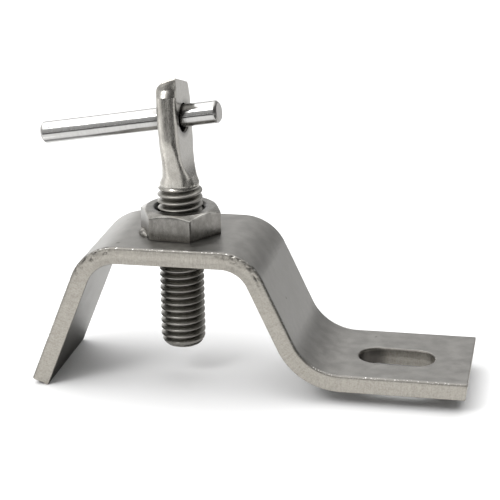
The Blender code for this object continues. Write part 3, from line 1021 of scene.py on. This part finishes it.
def sheet_look():
    """Satin rolled faces, pale sheared edges, a painted shade line and painted glints along the rims, dark
    tears and pits, and painted shade round the nut's foot and in the slot.
    """
    look = Look("sheet_steel")
    shear, rim_shade_glint, dirt_and_shade = look.mask("shear"), look.mask("rim_shade_glint"), look.mask("dirt_and_shade")
    mottle = look.noise((0.35, 0.45, 0.5), 5, 0.6)
    grain = look.noise((4.0, 7.0, 7.0), 4, 0.6)
    lines = look.noise((0.5, 11.0, 9.0), 2)
    across = look.noise((6.0, 0.5, 0.7), 4, 0.6)
    torn = look.noise((3.5, 3.5, 3.5), 4, 0.65)
    glint_noise = look.noise((2.6, 3.0, 3.0), 3, 0.6)
    clouds = look.between(0.4, look.spread(mottle, 0.3, 0.7), look.spread(grain, 0.3, 0.7))
    face = look.mix(clouds, (0.180, 0.174, 0.163), (0.286, 0.278, 0.262))
    speckle = look.between(0.6, look.spread(across, 0.3, 0.7), look.spread(torn, 0.35, 0.65))
    edge = look.mix(speckle, (0.295, 0.276, 0.244), (0.455, 0.433, 0.39))
    painted_glint = look.product(rim_shade_glint, look.spread(glint_noise, 0.59, 0.66))
    colour = look.mix(shear, face, edge)
    # Painted shade: the rims darkened into a thin dark line.
    colour = look.mix(look.product(rim_shade_glint, 0.75), colour, (0.17, 0.163, 0.15))
    # Painted glints: sparse bright spots along the rims.
    colour = look.mix(painted_glint, colour, (0.8, 0.79, 0.76))
    # dirt_and_shade: tears and pits, plus painted shade round the nut's foot and in the slot.
    look.colour(look.mix(dirt_and_shade, colour, (0.07, 0.065, 0.06)))
    face_rough = look.spread(look.between(0.5, grain, mottle), 0.3, 0.7, 0.34, 0.5)
    edge_rough = look.spread(torn, 0.3, 0.7, 0.3, 0.5)
    rough = look.between(shear, face_rough, edge_rough)
    rough = look.between(rim_shade_glint, rough, 0.5)
    look.roughness(look.between(painted_glint, rough, 0.25))
    face_height = look.between(0.35, grain, lines)
    edge_height = look.product(look.between(0.75, across, torn), 3.6)
    look.relief(look.between(shear, face_height, edge_height), 0.006)
    return look.material


def nut_look():
    """Satin steel drawn upwards on its flats, with lips lightened by wear and a painted highlight, and
    painted shade down the bore and at the foot.
    """
    look = Look("nut_steel")
    worn, dirt_and_shade = look.mask("worn"), look.mask("dirt_and_shade")
    brushed = look.noise((13.0, 13.0, 0.8), 3, 0.6)
    mottle = look.noise((0.7, 0.7, 0.5), 4, 0.6)
    body = look.mix(look.spread(mottle, 0.3, 0.7), (0.17, 0.163, 0.150), (0.26, 0.251, 0.234))
    # Lighter lip: wear and a painted highlight.
    body = look.mix(worn, body, (0.46, 0.45, 0.42))
    # dirt_and_shade darkens the bore and the foot as painted shade.
    look.colour(look.mix(dirt_and_shade, body, (0.05, 0.047, 0.042)))
    look.roughness(look.spread(brushed, 0.3, 0.7, 0.26, 0.36))
    look.relief(look.between(0.3, brushed, mottle), 0.0015)
    return look.material


def weld_look():
    """Dull bead with a rough skin."""
    look = Look("weld_metal")
    skin = look.noise((2.5, 2.5, 2.5), 4, 0.6)
    look.colour(look.mix(look.spread(skin, 0.3, 0.7), (0.13, 0.123, 0.11), (0.28, 0.27, 0.25)))
    look.roughness(look.spread(skin, 0.3, 0.7, 0.32, 0.5))
    look.relief(skin, 0.03)
    return look.material


def screw_look():
    """Bright forged head with duller flats and painted shade round the eye's hole, over a rolled thread
    whose darker colour is partly its own and partly painted shade.
    """
    look = Look("screw_steel")
    worn, dirt_and_shade, thread = look.mask("worn"), look.mask("dirt_and_shade"), look.mask("thread")
    mottle = look.noise((0.6, 0.6, 0.45), 5, 0.6)
    drawn = look.noise((7.0, 7.0, 0.7), 3, 0.6)
    pits = look.noise((3.0, 3.0, 3.0), 4, 0.65)
    forged = look.mix(look.spread(mottle, 0.3, 0.7), (0.33, 0.315, 0.288), (0.45, 0.435, 0.40))
    # The rolled thread's darker colours are partly its own tone and partly painted shade for the dark
    # reflections under the clamp.
    rolled = look.mix(look.spread(pits, 0.35, 0.65), (0.20, 0.193, 0.175), (0.32, 0.31, 0.285))
    rolled = look.mix(worn, rolled, (0.29, 0.28, 0.258))
    rolled = look.mix(dirt_and_shade, rolled, (0.155, 0.147, 0.13))
    forged = look.mix(look.mask("pressed"), forged, (0.255, 0.246, 0.228))
    # Painted shade round the eye's hole.
    forged = look.mix(dirt_and_shade, forged, (0.05, 0.046, 0.04))
    look.colour(look.mix(thread, forged, rolled))
    forged_rough = look.spread(drawn, 0.3, 0.7, 0.2, 0.34)
    look.roughness(look.between(thread, forged_rough, look.spread(pits, 0.3, 0.7, 0.32, 0.48)))
    look.relief(look.between(0.5, drawn, pits), 0.005)
    return look.material


def bar_look():
    """Ground and polished bar, dull at its ends, with painted shade where it passes through the eye."""
    look = Look("bar_steel")
    ends = look.mask("ends")
    ground = look.noise((14.0, 14.0, 0.5), 3, 0.6)
    rings = look.noise((0.6, 0.6, 6.0), 3, 0.5)
    colour = look.mix(look.spread(rings, 0.3, 0.7), (0.43, 0.425, 0.415), (0.50, 0.495, 0.485))
    # Painted shade near the eye, in patches.
    shade_patches = look.spread(look.noise((1.2, 1.2, 1.6), 3), 0.3, 0.6, 0.2, 0.6)
    bar_eye_shade = look.product(look.mask("bar_eye_shade"), shade_patches)
    colour = look.mix(bar_eye_shade, colour, (0.14, 0.135, 0.125))
    look.colour(look.mix(ends, colour, (0.27, 0.262, 0.25)))
    look.roughness(look.between(ends, look.spread(ground, 0.3, 0.7, 0.1, 0.19), 0.3))
    look.relief(look.between(0.4, ground, rings), 0.003)
    return look.material


# ---------------- floor, light and camera

FACE = [(0, 1, 2, 3)]


def level_corners(low, high, z):
    return [(low[0], low[1], z), (high[0], low[1], z), (high[0], high[1], z), (low[0], high[1], z)]


def paper(name, grey, roughness):
    """A plain grey material and its shader."""
    material = bpy.data.materials.new(name)
    material.use_nodes = True
    shader = material.node_tree.nodes["Principled BSDF"]
    shader.inputs["Base Color"].default_value = (grey, grey, grey, 1)
    shader.inputs["Roughness"].default_value = roughness
    return material, shader


def make_floor():
    corners = level_corners((-FLOOR_REACH, -FLOOR_REACH), (FLOOR_REACH, FLOOR_REACH), 0)
    floor = new_object("floor", corners, FACE)
    material, shader = paper("floor_paper", FLOOR_GREY, 0.9)
    shader.inputs["Specular IOR Level"].default_value = 0.0
    floor.data.materials.append(material)


def softbox(name, place, wide, high, power):
    light = bpy.data.lights.new(name, "AREA")
    light.shape = "RECTANGLE"
    light.size = wide
    light.size_y = high
    light.energy = power
    hang(name, light, place, LIGHTS_AIM)


def hang(name, light, place, aim):
    """Puts a lamp at a place, aimed at another, where the camera doesn't see it."""
    lamp = bpy.data.objects.new(name, light)
    lamp.location = place
    lamp.visible_camera = False
    lamp.rotation_euler = (Vector(aim) - Vector(place)).to_track_quat("-Z", "Y").to_euler()
    bpy.context.scene.collection.objects.link(lamp)


def floor_card(name, low, high, grey, glow):
    """A card lying on the floor that only shows as a reflection in the metal: a dark one paints shade there,
    a glowing one a bright patch.
    """
    card = new_object(name, level_corners(low, high, CARD_LIFT), FACE)
    material, shader = paper(name, grey, 1.0)
    shader.inputs["Emission Color"].default_value = (1, 1, 1, 1)
    shader.inputs["Emission Strength"].default_value = glow
    card.data.materials.append(material)
    card.visible_camera = False
    card.visible_diffuse = False
    card.visible_shadow = False


def make_sky():
    """A white sky whose strength only follows the direction."""
    world = bpy.data.worlds.new("studio")
    world.use_nodes = True
    tree = world.node_tree
    background = tree.nodes["Background"]
    place = tree.nodes.new("ShaderNodeTexCoord")
    toward = tree.nodes.new("ShaderNodeVectorMath")
    toward.operation = "DOT_PRODUCT"
    toward.inputs[1].default_value = SKY_TOWARDS
    ramp = tree.nodes.new("ShaderNodeMapRange")
    ramp.interpolation_type = "SMOOTHSTEP"
    ramp.inputs["From Min"].default_value = SKY_CHANGE[0]
    ramp.inputs["From Max"].default_value = SKY_CHANGE[1]
    ramp.inputs["To Min"].default_value = SKY_DARK
    ramp.inputs["To Max"].default_value = SKY_BRIGHT
    tree.links.new(place.outputs["Generated"], toward.inputs[0])
    tree.links.new(toward.outputs["Value"], ramp.inputs["Value"])
    tree.links.new(ramp.outputs["Result"], background.inputs["Strength"])
    background.inputs["Color"].default_value = (1, 1, 1, 1)
    bpy.context.scene.world = world


def make_light():
    make_sky()
    for card in FLOOR_CARDS:
        floor_card(*card)
    overhead = bpy.data.lights.new("overhead", "SUN")
    overhead.angle = radians(OVERHEAD_SPREAD)
    overhead.energy = OVERHEAD_POWER
    hang("overhead", overhead, OVERHEAD_FROM, (0, 0, 0))
    for box in SOFTBOXES:
        softbox(*box)


def make_camera():
    azimuth, elevation, roll = (radians(a) for a in (CAMERA_AZIMUTH, CAMERA_ELEVATION, CAMERA_ROLL))
    back = Vector((sin(azimuth) * cos(elevation), -cos(azimuth) * cos(elevation), sin(elevation)))
    right = Vector((cos(azimuth), sin(azimuth), 0))
    up = back.cross(right)
    across = right * cos(roll) + up * sin(roll)
    upward = up * cos(roll) - right * sin(roll)
    lens = bpy.data.cameras.new("camera")
    lens.lens = CAMERA_LENS
    lens.sensor_width = SENSOR
    lens.clip_start = 0.01
    camera = bpy.data.objects.new("camera", lens)
    turn = Matrix((across, upward, back)).transposed().to_4x4()
    camera.matrix_world = Matrix.Translation(CAMERA_PLACE) @ turn
    bpy.context.scene.collection.objects.link(camera)
    bpy.context.scene.camera = camera


screw_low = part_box("clamp_screw")[0]
web_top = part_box("bracket")[1].z / METRE
ORIGIN = Vector((-screw_low.x / METRE - THREAD_RADIUS, 0, -web_top))   # of the frame, in design millimetres
EYE_MIDDLE = Vector((-head_lean(EYE_CENTRE), 0, EYE_CENTRE))

make_camera()
make_floor()
make_light()
make_bracket()
make_nut()
for tack_node, tack_flat in TACK_FLATS.items():
    make_tack(tack_node, tack_flat)
make_screw()
make_bar()
bpy.context.scene.view_settings.view_transform = "Standard"
